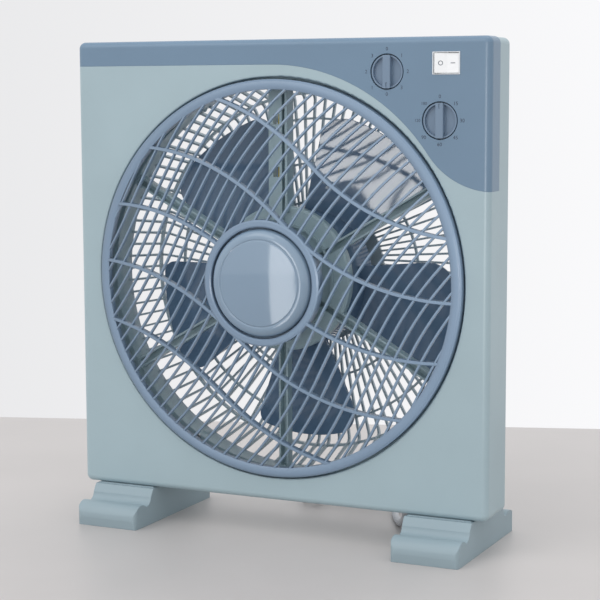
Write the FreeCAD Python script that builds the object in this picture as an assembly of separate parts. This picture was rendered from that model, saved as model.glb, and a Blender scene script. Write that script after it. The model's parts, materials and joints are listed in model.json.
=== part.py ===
import FreeCAD, Part
import math
import os

V = FreeCAD.Vector

# Box fan with a turning louver, in millimetres.
# X runs to the right, Y to the rear and Z up; the front face looks along -Y and the feet stand on Z = 0.
# Depths named *_D are measured to the rear from the front face, heights from the floor.

# ---- driving dimensions -------------------------------------------------------------------------
BOX_W, BOX_H = 400.0, 410.0     # square housing
BOX_Z = 33.0                    # underside of the housing
SEAM_D, BOX_D = 23.0, 50.0      # joint between the two shells, and the housing's depth
FACE_Y = -38.0                  # the front face, with the feet centred on Y = 0
WALL = 2.5
CORNER_R = 6.0
AXIS_Z = 232.0                  # height of the fan's axis

OPENING_R, OPENING_EDGE = 178.6, 1.4
LIP_T, LIP_D = 2.5, 14.0        # rim that turns inward behind the opening
DUCT_R, DUCT_T = 176.0, 2.2
SEAT_R, RIM_D = 179.5, 46.0     # seat at the rear of the duct that takes the basket's rim

BAND_Z = BOX_Z + 388.0          # lower edge of the control panel along the top
PANEL_LOW_Z = BOX_Z + 281.0     # lower edge of the control panel at the side
PANEL_ARC_R, PANEL_ARC_X = 178.5, -2.0
PANEL_TURN_R, PANEL_TURN_X = 70.0, 202.3

SPEED_X, SPEED_Z = 107.2, 414.0
TIMER_X, TIMER_Z = 155.0, 373.0
SPEED_R, TIMER_R = 14.2, 15.0
ROCKER_X, ROCKER_Z = 160.5, 420.75
ROCKER_W, ROCKER_H = 24.4, 18.9   # hole in the panel
ROCKER_WALL, ROCKER_TILT = 0.8, 8.0
WELL_D, WELL_T = 6.5, 1.5       # wells that the two knobs sit in
KNOB_STEM_R = 3.0

LOUVER_R, LOUVER_RIM_W = 176.5, 8.9
LOUVER_RIM_D = -4.6             # the louver's rim stands proud of the front face
LOUVER_IN_R, LOUVER_EYE_R = 55.4, 49.0
DOME_R = 581.0                  # radius of the louver's domed front
SLAT_COUNT, SLAT_W, SLAT_T = 33, 1.6, 3.8
SLAT_HEADING, SLAT_CORE, SLAT_BEND = 62.4, 34.8, 352.0
SLAT_PITCH, SLAT_PITCH_DIR = 10.46, -36.3
RIB_COUNT, RIB_W, RIB_T = 5, 2.7, 6.5
RIB_HEADING, RIB_CORE, RIB_BEND = -41.4, 13.1, 223.0
RIB_PITCH, RIB_PITCH_DIR = 56.05, 67.7
CAP_R = 47.4
LOUVER_SPINDLE_R = 3.5

BRACKET_D = 18.0                # front of the bracket's disc
BRACKET_DISC_R = 65.0
ARM_COUNT = 6
TURRET_R, TURRET_D = 34.0, -10.0
ARM_W, ARM_DEEP, ARM_WALL = 9.0, 9.0, 1.8

BLADE_COUNT, BLADE_R = 5, 149.5
BLADE_SPAN, BLADE_TAPER = math.radians(48.0), math.radians(1.5)
BLADE_FIRST = -15.5             # degrees, the blade that points right
BLADE_MID_D, BLADE_HALF_D, BLADE_CAMBER, BLADE_T = 59.0, 11.0, 4.0, 2.2
BLADE_LEAD_R, BLADE_TRAIL_R = 10.0, 22.0
HUB_R, HUB_D, HUB_REAR_D = 63.0, 40.0, 74.0
SHAFT_R = 4.0

SPOKE_COUNT, SPOKE_W, SPOKE_OFFSET = 96, 1.8, 12.0
BASKET_D = 97.5                 # rear of the basket
PLATE_R = 66.0                  # plate that carries the motor
RING_RADII = (100.0, 141.0)

FOOT_X0, FOOT_X1 = 125.0, 187.0
FOOT_FRONT_D, FOOT_REAR_D = -36.0, 112.0

CORD_R = 3.2
RUNNING_FIT = 0.05
GAP = 0.4

os.makedirs("parts", exist_ok=True)


# ---- helpers ------------------------------------------------------------------------------------
def at(x, d, z):
    """A point from its depth behind the front face."""
    return V(x, d + FACE_Y, z)


def box(x0, x1, d0, d1, z0, z1):
    return Part.makeBox(x1 - x0, d1 - d0, z1 - z0, at(x0, d0, z0))


def rod(r, d0, d1, x=0.0, z=AXIS_Z):
    """A cylinder that points to the rear."""
    return Part.makeCylinder(r, d1 - d0, at(x, d0, z), V(0, 1, 0))


def pipe(r_out, r_in, d0, d1, x=0.0, z=AXIS_Z):
    return rod(r_out, d0, d1, x, z).cut(rod(r_in, d0 - 1, d1 + 1, x, z))


def turned(points, x=0.0, z=AXIS_Z):
    """A solid turned about the line through (x, z) from (radius, depth) points. A point that is
    followed by None starts an arc through the next point."""
    edges = []
    ring = [None if p is None else at(x + p[0], p[1], z) for p in points]
    first = ring[0]
    here = first
    i = 1
    while i <= len(ring):
        if i < len(ring) and ring[i] is None:
            end = ring[i + 2] if i + 2 < len(ring) else first
            edges.append(Part.Arc(here, ring[i + 1], end).toShape())
            here = end
            i += 3
        else:
            end = ring[i] if i < len(ring) else first
            if here.distanceToPoint(end) > 1e-6:
                edges.append(Part.LineSegment(here, end).toShape())
            here = end
            i += 1
    face = Part.Face(Part.Wire(edges))
    return face.revolve(at(x, 0, z), V(0, 1, 0), 360)


def prism(points, d0, d1):
    """A straight-sided outline of (x, z) points, from depth d0 to d1."""
    wire = Part.makePolygon([at(x, d0, z) for x, z in points] + [at(points[0][0], d0, points[0][1])])
    return Part.Face(wire).extrude(V(0, d1 - d0, 0))


def spun(shape, degrees):
    """A copy turned about the fan's axis, counter-clockwise from the front."""
    copy = shape.copy()
    copy.rotate(at(0, 0, AXIS_Z), V(0, -1, 0), degrees)
    return copy


def spun_copies(shape, count, start=0.0):
    return [spun(shape, start + 360.0 * k / count) for k in range(count)]


def joined(first, others):
    return first.fuse(list(others)).removeSplitter()


def polar(radius, degrees):
    a = math.radians(degrees)
    return radius * math.cos(a), AXIS_Z + radius * math.sin(a)


def rounded_box(x0, x1, d0, d1, z0, z1, r):
    """A box with its four edges along Y rounded."""
    solid = box(x0, x1, d0, d1, z0, z1)
    along = [e for e in solid.Edges if abs(e.tangentAt(e.FirstParameter).y) > 0.99]
    return solid.makeFillet(r, along)


def screw(x, z, head_d, tip_d, head_r=3.6, shank_r=2.0):
    """A pan-head screw, driven from the rear or from the front."""
    back = 1 if head_d > tip_d else -1
    head = rod(head_r, min(head_d, head_d + back * 2.2), max(head_d, head_d + back * 2.2), x, z)
    slot_d = head_d + back * 1.2
    cross = [box(x - 2.0, x + 2.0, min(slot_d, slot_d + back * 2), max(slot_d, slot_d + back * 2),
                 z - 0.5, z + 0.5),
             box(x - 0.5, x + 0.5, min(slot_d, slot_d + back * 2), max(slot_d, slot_d + back * 2),
                 z - 2.0, z + 2.0)]
    shank = rod(shank_r, min(head_d, tip_d), max(head_d, tip_d), x, z)
    return head.cut(cross[0]).cut(cross[1]).fuse(shank)


def route_wire(points):
    """Straight runs joined by tangent arcs, each arc as large as its two runs allow."""
    pts = [V(*p) for p in points]
    edges, radii = [], []
    start = pts[0]
    for i in range(1, len(pts) - 1):
        a, p, b = pts[i - 1], pts[i], pts[i + 1]
        u = (a - p).normalize()
        w = (b - p).normalize()
        half_turn = (math.pi - u.getAngle(w)) / 2
        reach = 0.45 * min((a - p).Length, (b - p).Length)
        radius = reach / math.tan(half_turn)
        radii.append(radius)
        t0, t1 = p + u * reach, p + w * reach
        middle = (u + w).normalize()
        mid = p + middle * (radius / math.cos(half_turn) - radius)
        edges.append(Part.LineSegment(start, t0).toShape())
        edges.append(Part.Arc(t0, mid, t1).toShape())
        start = t1
    edges.append(Part.LineSegment(start, pts[-1]).toShape())
    return Part.Wire(edges), radii


def tube_along(points, radius):
    wire, radii = route_wire(points)
    direction = V(*points[1]) - V(*points[0])
    ring = Part.Wire([Part.makeCircle(radius, V(*points[0]), direction)])
    return wire.makePipeShell([ring], True, False), wire, radii


def export(name, shape):
    solids = shape.Solids
    if len(solids) == 1:
        shape = solids[0]
    if not shape.isValid():
        print("INVALID", name)
    print("%-22s solids %d  volume %.1f cm3" % (name, len(solids), shape.Volume / 1000.0))
    shape.exportStep("parts/%s.step" % name)


# ---- housing shells -----------------------------------------------------------------------------
BOX_TOP = BOX_Z + BOX_H
HALF_W = BOX_W / 2
SCREW_POSTS = [(sx * 186.0, z) for sx in (-1, 1) for z in (BOX_Z + 14.0, BOX_TOP - 14.0)]
FOOT_SCREWS = [(sx * 156.0, d) for sx in (-1, 1) for d in (12.0, 37.0)]
FOOT_SCREW_R = 2.0


def panel_outline():
    """The control panel seen from the front: a band along the top that sweeps round the opening and
    runs out to the side."""
    c1 = (PANEL_ARC_X, BAND_Z - PANEL_ARC_R)
    c2 = (PANEL_TURN_X, PANEL_LOW_Z + PANEL_TURN_R)
    dx, dz = c2[0] - c1[0], c2[1] - c1[1]
    gap = math.hypot(dx, dz)
    meet = (c1[0] + PANEL_ARC_R * dx / gap, c1[1] + PANEL_ARC_R * dz / gap)
    a = (math.pi / 2 + math.atan2(dz, dx)) / 2
    mid1 = (c1[0] + PANEL_ARC_R * math.cos(a), c1[1] + PANEL_ARC_R * math.sin(a))
    low = (PANEL_TURN_X, PANEL_LOW_Z)
    b = (math.atan2(meet[1] - c2[1], meet[0] - c2[0]) - math.pi / 2) / 2
    mid2 = (c2[0] + PANEL_TURN_R * math.cos(b), c2[1] + PANEL_TURN_R * math.sin(b))
    out = [(-HALF_W - 5, BAND_Z), (PANEL_ARC_X, BAND_Z), mid1, meet, mid2, low,
           (HALF_W + 5, PANEL_LOW_Z), (HALF_W + 5, BOX_TOP + 5), (-HALF_W - 5, BOX_TOP + 5)]
    p = [at(x, -5, z) for x, z in out]
    edges = [Part.LineSegment(p[0], p[1]).toShape(), Part.Arc(p[1], p[2], p[3]).toShape(),
             Part.Arc(p[3], p[4], p[5]).toShape()]
    edges += [Part.LineSegment(p[i], p[(i + 1) % len(p)]).toShape() for i in range(5, len(p))]
    return Part.Face(Part.Wire(edges)).extrude(V(0, SEAM_D + 10, 0))


def front_skin():
    outer = rounded_box(-HALF_W, HALF_W, 0, SEAM_D, BOX_Z, BOX_TOP, CORNER_R)
    face_y = at(0, 0, 0).y
    rim = [e for e in outer.Edges if all(abs(v.Point.y - face_y) < 1e-6 for v in e.Vertexes)]
    outer = outer.makeFillet(CORNER_R - 0.5, rim)
    inner = rounded_box(-HALF_W + WALL, HALF_W - WALL, WALL, SEAM_D + 1, BOX_Z + WALL, BOX_TOP - WALL,
                        CORNER_R - WALL)
    return outer.cut(inner)


def front_shell_and_panel():
    skin = front_skin()
    outline = panel_outline()
    panel = skin.common(outline)
    shell = skin.cut(outline)
    edge = OPENING_EDGE * (1 - math.sqrt(0.5))
    lip = turned([(OPENING_R, OPENING_EDGE), None, (OPENING_R + edge, edge), (OPENING_R + OPENING_EDGE, 0),
                  (OPENING_R + LIP_T, 0), (OPENING_R + LIP_T, LIP_D), (OPENING_R, LIP_D)])
    posts = [rod(5.0, WALL, SEAM_D, x, z) for x, z in SCREW_POSTS if z < AXIS_Z]
    posts += [box(x - 7, x + 7, d - 6, d + 6, BOX_Z + 1, BOX_Z + 14) for x, d in FOOT_SCREWS if d < SEAM_D]
    shell = shell.cut(rod(OPENING_R + LIP_T, -1, SEAM_D)).fuse([lip] + posts)
    panel_posts = [rod(5.0, WALL, SEAM_D, x, z) for x, z in SCREW_POSTS if z > AXIS_Z]
    panel = panel.fuse(panel_posts)
    for x, z in SCREW_POSTS:
        hole = rod(2.0, 9.0, SEAM_D + 1, x, z)
        shell = shell.cut(hole)
        panel = panel.cut(hole)
    for x, d in FOOT_SCREWS:
        shell = shell.cut(Part.makeCylinder(FOOT_SCREW_R, 20, at(x, d, BOX_Z - 1)))
    for x, z, r in ((SPEED_X, SPEED_Z, SPEED_R), (TIMER_X, TIMER_Z, TIMER_R)):
        well = rod(r + 1.0 + WELL_T, WALL - 0.5, WELL_D + WELL_T, x, z)
        panel = panel.fuse(well).cut(rod(r + 1.0, -1, WELL_D, x, z)).cut(rod(4.2, 0, 20, x, z))
    panel = panel.cut(box(ROCKER_X - ROCKER_W / 2, ROCKER_X + ROCKER_W / 2, -1, WALL + 1,
                          ROCKER_Z - ROCKER_H / 2, ROCKER_Z + ROCKER_H / 2))
    panel = panel.cut(rod(OPENING_R + LIP_T, -1, SEAM_D))
    return shell.removeSplitter(), panel.removeSplitter()


BRACKET_SCREWS = [polar(173.4, a) for a in (60, 120, 240, 300)]
GRIP_W, GRIP_H, GRIP_DEEP = 116.0, 20.0, 20.0
GLAND_BASE = (120.0, 30.0, 38.0)            # x, depth, height of the cord's way out, inside the shell
GLAND_DIR = (-0.442, 0.688, -0.574)
GLAND_L = 34.0


def rear_shell():
    w1, t1 = HALF_W - 0.3, BOX_TOP - 0.6
    outer = rounded_box(-w1, w1, SEAM_D, BOX_D, BOX_Z + 0.3, t1, CORNER_R)
    back_y = at(0, BOX_D, 0).y
    rim = [e for e in outer.Edges if all(abs(v.Point.y - back_y) < 1e-6 for v in e.Vertexes)]
    outer = outer.makeFillet(3.0, rim)
    inner = rounded_box(-w1 + WALL, w1 - WALL, SEAM_D - 1, BOX_D - WALL, BOX_Z + 0.3 + WALL, t1 - WALL,
                        CORNER_R - WALL)
    shell = outer.cut(inner).cut(rod(SEAT_R, SEAM_D, BOX_D + 1))
    seat_out = SEAT_R + 1.4
    duct = turned([(DUCT_R, LIP_D), (DUCT_R + DUCT_T, LIP_D), (DUCT_R + DUCT_T, RIM_D - 2.0),
                   (seat_out, RIM_D - 2.0), (seat_out, BOX_D), (SEAT_R, BOX_D), (SEAT_R, RIM_D),
                   (DUCT_R, RIM_D)])
    # flange that closes the step between the duct and the front opening
    flange = pipe(OPENING_R + LIP_T, DUCT_R + 0.5, LIP_D, LIP_D + 2.0)
    grip_z = BOX_TOP - 10.0 - GRIP_H / 2
    pocket = rounded_box(-GRIP_W / 2 - 2, GRIP_W / 2 + 2, BOX_D - GRIP_DEEP - 2, BOX_D - 1,
                         grip_z - GRIP_H / 2 - 2, grip_z + GRIP_H / 2 + 2, 8)
    hollow = rounded_box(-GRIP_W / 2, GRIP_W / 2, BOX_D - GRIP_DEEP, BOX_D + 1,
                         grip_z - GRIP_H / 2, grip_z + GRIP_H / 2, 6)
    posts = [rod(5.0, SEAM_D, BOX_D - 1, x, z) for x, z in SCREW_POSTS]
    posts += [box(x - 7, x + 7, d - 6, d + 6, BOX_Z + 1, BOX_Z + 14) for x, d in FOOT_SCREWS if d > SEAM_D]
    posts += [rod(3.2, BRACKET_D + ARM_DEEP, BRACKET_D + ARM_DEEP + 7, x, z) for x, z in BRACKET_SCREWS]
    shell = shell.fuse([duct, flange, pocket] + posts).cut(hollow)
    for x, z in BRACKET_SCREWS:
        shell = shell.cut(rod(1.6, BRACKET_D + ARM_DEEP - 1, BRACKET_D + ARM_DEEP + 5, x, z))
    for x, z in SCREW_POSTS:
        shell = shell.cut(rod(2.0, SEAM_D - 1, BOX_D, x, z)).cut(rod(4.2, BOX_D - 4.0, BOX_D + 1, x, z))
    for x, d in FOOT_SCREWS:
        shell = shell.cut(Part.makeCylinder(FOOT_SCREW_R, 20, at(x, d, BOX_Z - 1)))
    shell = shell.cut(Part.makeCylinder(5.4, GLAND_L, at(*GLAND_BASE), V(*GLAND_DIR)))
    return shell.removeSplitter()


# ---- rear basket --------------------------------------------------------------------------------
RIM_R = SEAT_R - 0.2


def rear_grille():
    """Basket of straight bars, each a tangent to a small circle round the axis."""
    band = turned([(178.2, 47), (166.2, 84), None, (164.0, 90.4), (156.5, 93.4), (60, BASKET_D),
                   (60, BASKET_D - 3), (155.2, 90.2), None, (160.9, 88.6), (163, 83.4), (175.0, 47)])
    half = SPOKE_W / 2
    z0 = AXIS_Z + SPOKE_OFFSET
    bar = prism([(58, z0 - half), (182, z0 - half), (182, z0 + half), (58, z0 + half)], 40, 104)
    spoke = band.common(bar)
    rim = turned([(DUCT_R + 0.1, RIM_D), (RIM_R, RIM_D), (RIM_R, 50.5), (RIM_R - 0.4, 51.5),
                  (DUCT_R + 0.1, 51.5)])
    corner = turned([(163.2, 85.0), (165.4, 85.0), (165.2, 88.0), (163.0, 88.6)])
    rings = []
    for r in RING_RADII:
        d = BASKET_D - 4.1 * (r - 60) / (156.5 - 60)
        rings.append(pipe(r + 1.0, r - 1.0, d - 2.8, d - 0.2))
    plate = turned([(15, BASKET_D - 3), (PLATE_R, BASKET_D - 3), (PLATE_R, BASKET_D), (60, BASKET_D + 1.5),
                    (15, BASKET_D + 1.5)])
    basket = joined(rim, [corner, plate] + rings + spun_copies(spoke, SPOKE_COUNT))
    for x, z in MOTOR_FEET:
        basket = basket.cut(rod(2.0, 80, 104, x, z))
    return basket


MOTOR_FEET = [polar(38.0, a) for a in (45, 135, 225, 315)]


# ---- louver -------------------------------------------------------------------------------------
def dome_depth(r):
    rim = LOUVER_R - LOUVER_RIM_W
    return LOUVER_RIM_D + math.sqrt(DOME_R ** 2 - rim ** 2) - math.sqrt(DOME_R ** 2 - r ** 2)


def dome_band(r0, r1, front, thick):
    """A ring of the louver's domed skin."""
    rm = (r0 + r1) / 2
    d0, dm, d1 = [dome_depth(r) + front for r in (r0, rm, r1)]
    return turned([(r0, d0), None, (rm, dm), (r1, d1), (r1, d1 + thick), None, (rm, dm + thick),
                   (r0, d0 + thick)])


def s_strip(x, z, heading, core, bend, turn, width, d0, d1):
    """A strip bent to a long S round (x, z): straight in the middle, then an arc to each side."""
    h = math.radians(heading)
    reach = 0.5 * LOUVER_R

    def on_arc(run, side):
        a = h + turn * run / bend
        r = bend - turn * side
        return (core * math.cos(h) + turn * (r * math.sin(a) - bend * math.sin(h)),
                core * math.sin(h) + turn * (bend * math.cos(h) - r * math.cos(a)))

    def there(p):
        return at(x + p[0], d0, z + p[1])

    def back(p):
        return at(x - p[0], d0, z - p[1])

    left = [on_arc(k * reach, width / 2) for k in range(3)]
    right = [on_arc(k * reach, -width / 2) for k in range(3)]
    edges = [Part.LineSegment(back(right[0]), there(left[0])).toShape(),
             Part.Arc(*[there(p) for p in left]).toShape(),
             Part.LineSegment(there(left[2]), there(right[2])).toShape(),
             Part.Arc(*[there(p) for p in right[::-1]]).toShape(),
             Part.LineSegment(there(right[0]), back(left[0])).toShape(),
             Part.Arc(*[back(p) for p in left]).toShape(),
             Part.LineSegment(back(left[2]), back(right[2])).toShape(),
             Part.Arc(*[back(p) for p in right[::-1]]).toShape()]
    return Part.Face(Part.Wire(edges)).extrude(V(0, d1 - d0, 0))


def s_strips(count, pitch, pitch_dir, shape):
    """Equal strips set side by side across the louver."""
    a = math.radians(pitch_dir)
    offsets = [(k - (count - 1) / 2) * pitch for k in range(count)]
    return [s_strip(n * math.cos(a), AXIS_Z + n * math.sin(a), *shape, -60, 30) for n in offsets]


def louver_grille():
    rim_in = LOUVER_R - LOUVER_RIM_W
    front = LOUVER_RIM_D
    rim = turned([(rim_in, front + 0.6), None, (rim_in + 4.4, front - 0.4), (LOUVER_R - 1.6, front + 0.5),
                  (LOUVER_R, front + 2.2), (LOUVER_R, 9.0), (LOUVER_R - 2.2, 9.0), (LOUVER_R - 2.2, front + 3.6),
                  (rim_in + 2, front + 3.2), (rim_in + 2, 2.0), (rim_in, 2.0)])
    eye_d = dome_depth(LOUVER_IN_R)
    eye = turned([(LOUVER_EYE_R, eye_d - 0.2), (LOUVER_EYE_R + 1.2, eye_d - 1.2), (LOUVER_IN_R - 1.5, eye_d - 1.0),
                  (LOUVER_IN_R, eye_d), (LOUVER_IN_R, eye_d + 10), (LOUVER_EYE_R, eye_d + 10)])
    web_d = eye_d + 6.5
    web = turned([(LOUVER_SPINDLE_R, web_d - 4.0), (9, web_d - 4.0), (9, web_d), (LOUVER_EYE_R + 1, web_d),
                  (LOUVER_EYE_R + 1, web_d + 2.5), (9, web_d + 2.5), (9, web_d + 7), (LOUVER_SPINDLE_R, web_d + 7)])
    inner_r = LOUVER_IN_R - 3.0
    slat_band = dome_band(inner_r, rim_in + 1.0, 0.2, SLAT_T)
    rib_band = dome_band(inner_r, rim_in + 1.0, -0.3, RIB_T)
    slats = s_strips(SLAT_COUNT, SLAT_PITCH, SLAT_PITCH_DIR,
                     (SLAT_HEADING, SLAT_CORE, SLAT_BEND, -1, SLAT_W))
    ribs = s_strips(RIB_COUNT, RIB_PITCH, RIB_PITCH_DIR, (RIB_HEADING, RIB_CORE, RIB_BEND, 1, RIB_W))
    slat_part = slat_band.common(Part.makeCompound(slats))
    rib_part = rib_band.common(ribs[0].fuse(ribs[1:]))
    return joined(rim, [eye, web] + rib_part.Solids + slat_part.Solids)


def louver_cap():
    """Glossy cap over the louver's hub: a shallow dome, a groove and a raised ring."""
    front = dome_depth(LOUVER_EYE_R) - 6.0
    cap = turned([(0, front - 0.2), None, (20, front + 0.4), (37.0, front + 2.0), (38.0, front + 2.7),
                  (39.2, front + 2.3), None, (44.6, front + 4.2), (CAP_R, front + 9.0), (CAP_R, front + 12.0),
                  (CAP_R - 2, front + 12.0), (CAP_R - 2, front + 9.4), (43, front + 6.2), (0, front + 5.4)])
    seat = dome_depth(LOUVER_IN_R) + 2.5
    boss = turned([(5.0, front + 4.0), (9.0, front + 4.0), (9.0, seat), (5.0, seat)])
    return cap.fuse(boss).removeSplitter()


def louver_spindle():
    front = dome_depth(LOUVER_IN_R) + 2.5
    return rod(LOUVER_SPINDLE_R, front, 4.0).cut(rod(1.5, front - 1, front + 13))


def louver_screw():
    front = dome_depth(LOUVER_IN_R) + 2.5
    return screw(0, AXIS_Z, front, front + 12, 4.2, 1.5)


# ---- bracket in front of the blade --------------------------------------------------------------
LEAD_X = -4.5                   # middle of the wiring channel in the top arm
LEAD_D = 14.0


def louver_bracket():
    ring = pipe(DUCT_R, DUCT_R - 4.5, BRACKET_D - 1, BRACKET_D + ARM_DEEP)
    disc = turned([(30, BRACKET_D), (BRACKET_DISC_R - 2, BRACKET_D), (BRACKET_DISC_R, BRACKET_D + 1.5),
                   (BRACKET_DISC_R, BRACKET_D + 8), (BRACKET_DISC_R - 2.2, BRACKET_D + 8),
                   (BRACKET_DISC_R - 2.2, BRACKET_D + 2.5), (30, BRACKET_D + 2.5)])
    step = pipe(50.0, 47.8, BRACKET_D - 3, BRACKET_D + 1)
    turret = turned([(TURRET_R - 2.5, BRACKET_D + 2.5), (TURRET_R - 2.5, TURRET_D + 2.2), (6, TURRET_D + 2.2),
                     (6, TURRET_D), (TURRET_R - 1.5, TURRET_D), (TURRET_R, TURRET_D + 1.5),
                     (TURRET_R, BRACKET_D + 2.5)])
    arms, grooves, bosses = [], [], []
    for k in range(ARM_COUNT):
        angle = 90.0 + 360.0 * k / ARM_COUNT
        half = ARM_W / 2
        if k == 0:
            arms.append(box(LEAD_X - 7, LEAD_X + 6, LEAD_D, BRACKET_D + ARM_DEEP,
                            AXIS_Z + TURRET_R - 1, AXIS_Z + DUCT_R - 2))
            arms.append(box(LEAD_X + 8.7, LEAD_X + 11.2, LEAD_D, BRACKET_D + ARM_DEEP,
                            AXIS_Z + BRACKET_DISC_R - 6, AXIS_Z + DUCT_R - 2))
            arms.append(box(LEAD_X, LEAD_X + 10, BRACKET_D + ARM_DEEP - 2, BRACKET_D + ARM_DEEP,
                            AXIS_Z + BRACKET_DISC_R - 6, AXIS_Z + DUCT_R - 2))
            grooves.append(box(LEAD_X - 5, LEAD_X + 4, LEAD_D + 2, BRACKET_D + ARM_DEEP + 1,
                               AXIS_Z + TURRET_R - 4, AXIS_Z + DUCT_R + 1))
            for z in (AXIS_Z + 95.0, AXIS_Z + 141.5):
                grooves.append(box(LEAD_X - 2.5, LEAD_X + 3.5, LEAD_D - 1, LEAD_D + 3, z - 4.5, z + 4.5))
        else:
            bar = box(TURRET_R - 1, DUCT_R - 2, BRACKET_D, BRACKET_D + ARM_DEEP, AXIS_Z - half, AXIS_Z + half)
            groove = box(TURRET_R + 3, DUCT_R - 6, BRACKET_D - 1, BRACKET_D + ARM_DEEP - 2,
                         AXIS_Z - half + ARM_WALL, AXIS_Z + half - ARM_WALL)
            arms.append(spun(bar, angle))
            grooves.append(spun(groove, angle))
    for sign in (-1, 1):
        boss = rod(2.9, TURRET_D + 1, 11.5, sign * 28.4)
        bosses.append(boss.cut(rod(1.5, -2, 12, sign * 28.4)))
    body = joined(ring, [disc, step, turret] + arms + bosses)
    for groove in grooves:
        body = body.cut(groove)
    for x, z in BRACKET_SCREWS:
        body = body.cut(rod(1.6, BRACKET_D - 2, BRACKET_D + ARM_DEEP + 1, x, z))
    return body


def bracket_screws():
    return Part.makeCompound([screw(x, z, BRACKET_D - 1, BRACKET_D + ARM_DEEP + 5, 2.1, 1.6)
                              for x, z in BRACKET_SCREWS])


def louver_motor():
    can = turned([(LOUVER_SPINDLE_R + RUNNING_FIT, -7.5), (23.0, -7.5), (24.5, -6.0), (24.5, 11.5), (0, 11.5),
                  (0, 5.0), (LOUVER_SPINDLE_R + RUNNING_FIT, 5.0)])
    ears = box(-31.0, 31.0, 11.5, 12.7, AXIS_Z - 5, AXIS_Z + 5)
    for sign in (-1, 1):
        ears = ears.cut(rod(1.5, 11, 13, sign * 28.4))
    return can.fuse(ears).removeSplitter()


def louver_motor_screws():
    return Part.makeCompound([screw(sign * 28.4, AXIS_Z, 12.7, 3.0, 2.6, 1.5) for sign in (-1, 1)])


def louver_leads():
    """Two leads that run up the top arm's channel to the controls."""
    route = [at(LEAD_X + 1.5, 16.5, AXIS_Z + 20), at(LEAD_X + 1.5, 21.0, AXIS_Z + 45),
             at(LEAD_X + 1.5, 19.5, AXIS_Z + 80), at(LEAD_X + 1.5, 19.5, AXIS_Z + 120),
             at(LEAD_X + 1.5, 20.0, AXIS_Z + 150), at(LEAD_X + 1.5, 22.0, AXIS_Z + DUCT_R - 7)]
    return tube_along(route, 1.5)[0]


# ---- motor --------------------------------------------------------------------------------------
MOTOR_R, MOTOR_WALL = 43.0, 2.0
FRONT_D, REAR_D = 60.0, 92.2
STATOR_D0, STATOR_D1 = 66.0, 82.0
BEARING_R = 7.0
EAR_ANGLES = (0, 90, 180, 270)


def motor_cover(d_plate, d_open, boss_d0, boss_d1):
    """A pressed cup with vents and a bearing seat."""
    inward = 1 if d_open > d_plate else -1
    plate = rod(MOTOR_R, min(d_plate, d_plate + inward * 2.2), max(d_plate, d_plate + inward * 2.2))
    skirt = pipe(MOTOR_R, MOTOR_R - MOTOR_WALL, min(d_plate, d_open), max(d_plate, d_open))
    cover = plate.fuse([skirt, rod(10.5, boss_d0, boss_d1)])
    ears = []
    for angle in EAR_ANGLES:
        x, z = polar(46.5, angle)
        ears.append(rod(4.5, min(d_open, d_open - inward * 3), max(d_open, d_open - inward * 3), x, z))
    cover = cover.fuse(ears)
    cover = cover.cut(rod(MOTOR_R - MOTOR_WALL, min(d_plate + inward * 2.2, d_open + inward),
                          max(d_plate + inward * 2.2, d_open + inward)).cut(rod(10.5, boss_d0, boss_d1)))
    for k in range(8):
        vent = box(15, 34, d_plate - 3, d_plate + 3, AXIS_Z - 2.2, AXIS_Z + 2.2)
        cover = cover.cut(spun(vent, 22.5 + 45.0 * k))
    for angle in EAR_ANGLES:
        x, z = polar(46.5, angle)
        cover = cover.cut(rod(1.6, 50, 100, x, z))
    return cover.cut(rod(BEARING_R, 50, 104))


def motor_rear_cover():
    posts = [rod(4.0, REAR_D - 2, BASKET_D - 3, x, z) for x, z in MOTOR_FEET]
    cover = motor_cover(REAR_D, STATOR_D1 - 6, 84.0, 96.0).fuse(posts)
    for x, z in MOTOR_FEET:
        cover = cover.cut(rod(2.0, REAR_D - 3, BASKET_D, x, z))
    return cover.removeSplitter()


def motor_stator():
    """Laminated ring with sixteen winding slots."""
    core = pipe(MOTOR_R - MOTOR_WALL, 23.0, STATOR_D0, STATOR_D1)
    slot = box(24.8, 34.0, STATOR_D0 - 1, STATOR_D1 + 1, AXIS_Z - 2.0, AXIS_Z + 2.0)
    mouth = box(20.0, 26.0, STATOR_D0 - 1, STATOR_D1 + 1, AXIS_Z - 0.8, AXIS_Z + 0.8)
    for k in range(16):
        core = core.cut(spun(slot.fuse(mouth), 22.5 * k))
    return core


def motor_coils():
    """The windings' rounded ends, in front of and behind the stator."""
    front = turned([(26, STATOR_D0), (26.5, STATOR_D0 - 2.4), (30, STATOR_D0 - 3.2), (34.5, STATOR_D0 - 2.4),
                    (35.5, STATOR_D0)])
    rear = turned([(26, STATOR_D1), (26.5, STATOR_D1 + 5.0), (30, STATOR_D1 + 7.0), (34.5, STATOR_D1 + 5.0),
                   (35.5, STATOR_D1)])
    return Part.makeCompound([front, rear])


def motor_screws():
    bolts = []
    for angle in EAR_ANGLES:
        x, z = polar(46.5, angle)
        bolt = screw(x, z, STATOR_D0 + 3, STATOR_D1 + 1, 3.0, 1.6)
        nut = rod(3.2, STATOR_D1 - 3, STATOR_D1 - 0.6, x, z)
        bolts.append(bolt.fuse(nut))
    return Part.makeCompound(bolts)


def motor_mount_screws():
    return Part.makeCompound([screw(x, z, BASKET_D + 1.5, REAR_D - 2.5, 3.6, 2.0) for x, z in MOTOR_FEET])


def motor_shaft():
    return rod(SHAFT_R, HUB_D + 1.8, 95.5).fuse(rod(3.0, 32.5, HUB_D + 2)).removeSplitter()


def motor_rotor():
    return pipe(22.4, SHAFT_R, STATOR_D0 + 1.5, STATOR_D1 + 0.5)


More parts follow.
